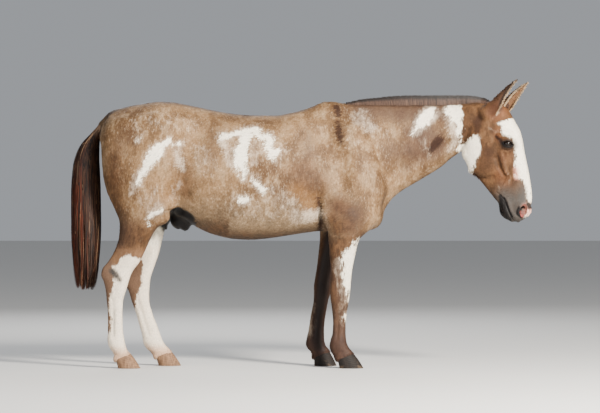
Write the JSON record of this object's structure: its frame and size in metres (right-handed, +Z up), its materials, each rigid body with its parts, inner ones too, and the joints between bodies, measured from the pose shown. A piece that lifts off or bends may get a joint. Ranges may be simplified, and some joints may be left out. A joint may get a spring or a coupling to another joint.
{
  "type": "live mule",
  "caption": "Life-size standing mule with a roan and white pinto coat, clipped upright mane, long ears and a full tail, as a still model.",
  "frame": {"origin": "on the floor, under the middle of the whole model's box", "axes": "+X towards the head, +Y to the mule's left side, +Z up"},
  "size_m": [2.6196, 0.5538, 1.6373],
  "materials": {
    "coat": "short sleek hair, tan roan with white patches",
    "hair": "long coarse hair of mane and tail",
    "horn": "dry hoof horn, ringed",
    "eye": "wet dark brown eye"
  },
  "bodies": {
    "root": {"torso": "coat", "neck": "coat", "head": "coat", "ear_right": "coat", "ear_left": "coat", "eye_right": "eye", "eye_left": "eye", "mane": "hair", "tail": "hair", "leg_hind_right": "coat", "leg_hind_left": "coat", "leg_fore_right": "coat", "leg_fore_left": "coat", "hoof_fore_right": "horn", "hoof_fore_left": "horn", "hoof_hind_right": "horn", "hoof_hind_left": "horn"}
  },
  "joints": []
}
